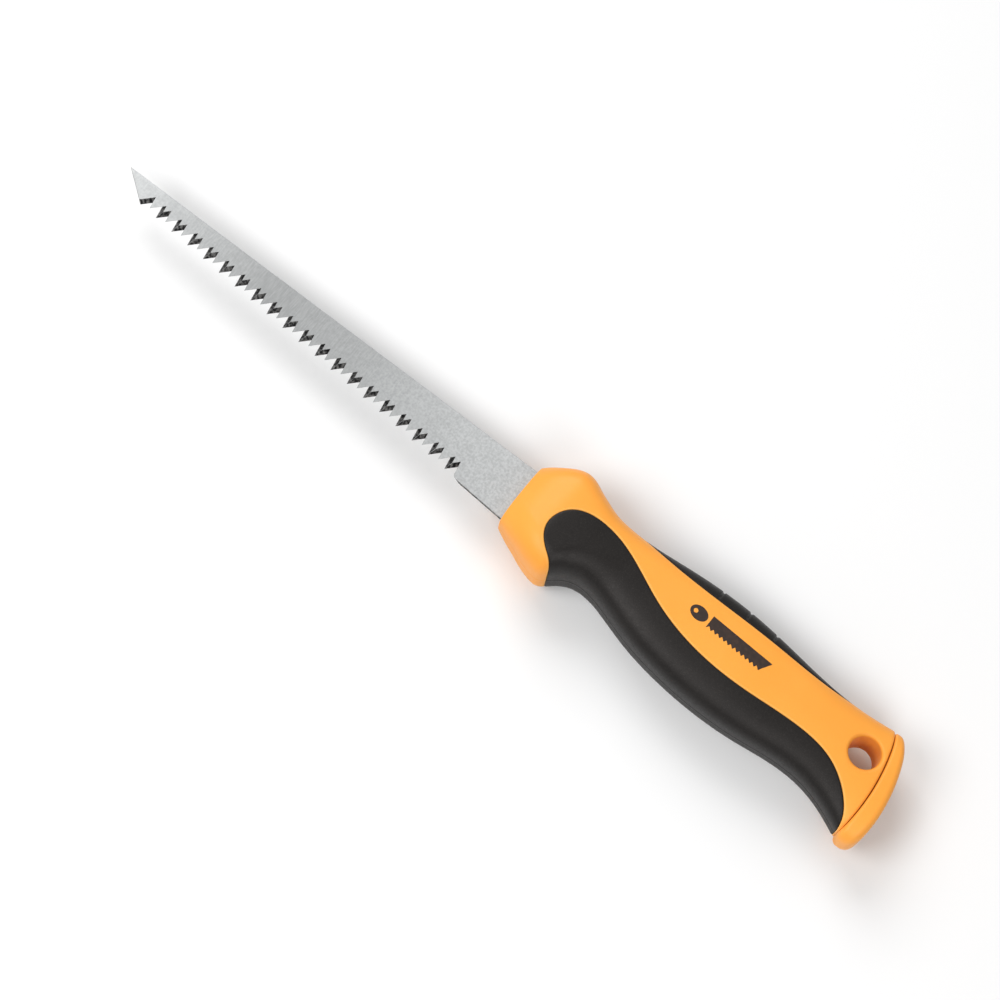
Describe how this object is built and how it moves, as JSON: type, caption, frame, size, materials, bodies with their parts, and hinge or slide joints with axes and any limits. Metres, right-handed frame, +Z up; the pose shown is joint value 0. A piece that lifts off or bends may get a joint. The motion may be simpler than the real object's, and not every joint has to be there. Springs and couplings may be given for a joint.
{
  "type": "drywall saw",
  "caption": "Short stiff blade with a slanted point and coarse teeth on one edge, fixed in a two-material pistol-curved handle with a hang hole at its capped end.",
  "frame": {"origin": "bottom centre of the bounding box, with the saw lying flat on its right side", "axes": "+X along the blade from handle to point, +Y towards the teeth and the belly of the handle, +Z up out of the saw's left side"},
  "size_m": [0.2873, 0.0408, 0.026],
  "materials": {
    "blade_steel": "ground, bare",
    "hard_plastic": "fine satin moulding",
    "soft_rubber": "fine matt texture"
  },
  "bodies": {
    "root": {"blade": "blade_steel", "handle_core": "hard_plastic", "belly_grip": "soft_rubber", "back_strip": "soft_rubber", "butt_cap": "hard_plastic"}
  },
  "joints": []
}
